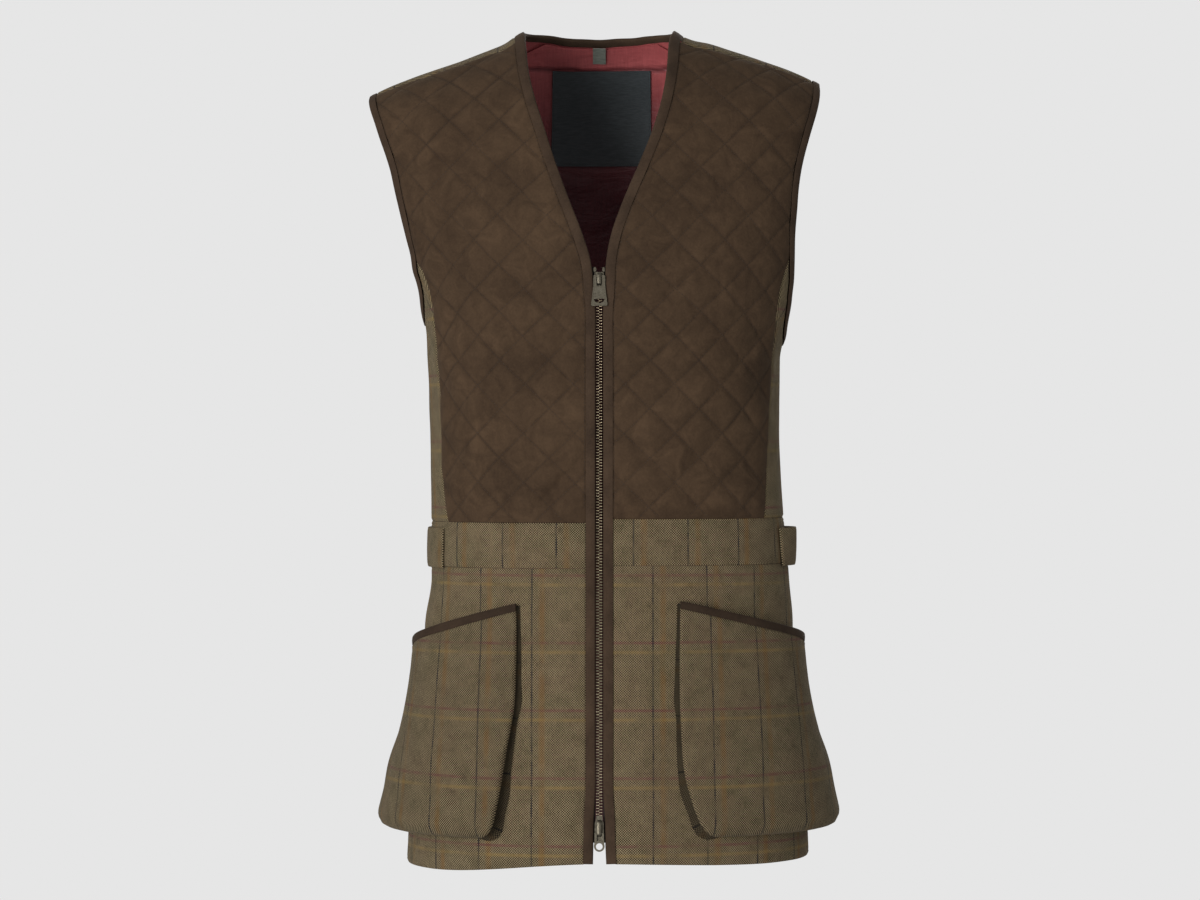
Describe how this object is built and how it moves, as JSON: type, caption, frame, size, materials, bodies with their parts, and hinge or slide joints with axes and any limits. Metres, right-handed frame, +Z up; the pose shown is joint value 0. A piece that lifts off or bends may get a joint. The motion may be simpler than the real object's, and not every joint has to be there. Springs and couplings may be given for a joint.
{
  "type": "shooting vest",
  "caption": "Sleeveless hip-length shooting vest: quilted suede-look fronts, checked tweed back and skirt, V-neck, two-way zip and bellows pockets.",
  "frame": {"origin": "midway between the shoulders' inner ends, at the height where the wearer's shoulders carry the vest", "axes": "+Z up, -Y towards the front, +X towards the wearer's left, which is at the picture's right"},
  "size_m": [0.4365, 0.2779, 0.7597],
  "materials": {
    "suede": "mottled brown faux suede, quilted, soft nap",
    "tweed": "olive wool tweed with a soft overcheck of navy, rust, maroon and ochre lines",
    "binding": "dark brown soft suede binding",
    "lining": "burgundy satin lining",
    "zip_tape": "dark brown woven zip tape",
    "zip_teeth": "antique brass zip teeth, worn",
    "brass": "antique brass, worn satin",
    "label": "dark woven label, bare",
    "size_tab": "grey-green woven tab, bare"
  },
  "bodies": {
    "root": {"armhole_binding_left": "binding", "armhole_binding_right": "binding", "back_lining": "lining", "back_panel": "tweed", "back_skirt": "tweed", "bottom_slider": "brass", "front_binding_left": "binding", "front_binding_right": "binding", "neck_binding": "binding", "neck_label": "label", "pocket_binding_left": "binding", "pocket_binding_right": "binding", "pocket_gusset_left": "tweed", "pocket_gusset_right": "tweed", "pocket_left": "tweed", "pocket_right": "tweed", "size_tab": "size_tab", "skirt_left": "tweed", "skirt_right": "tweed", "top_slider": "brass", "top_stop_left": "brass", "top_stop_right": "brass", "upper_front_left": "suede", "upper_front_right": "suede", "waist_belt": "tweed", "waistband_left": "tweed", "waistband_right": "tweed", "zip_chain": "zip_teeth", "zip_tape_left": "zip_tape", "zip_tape_right": "zip_tape"},
    "top_pull": {"top_pull": "brass"},
    "bottom_pull": {"bottom_pull": "brass"}
  },
  "joints": [
    {"name": "top_pull_hinge", "type": "hinge", "parent": "root", "child": "top_pull", "pos_m": [0, -0.12769, -0.23223], "axis": [-1, 0, 0], "range_deg": [0, 150]},
    {"name": "bottom_pull_hinge", "type": "hinge", "parent": "root", "child": "bottom_pull", "pos_m": [0, -0.13982, -0.73025], "axis": [-1, 0, 0], "range_deg": [0, 140]}
  ]
}
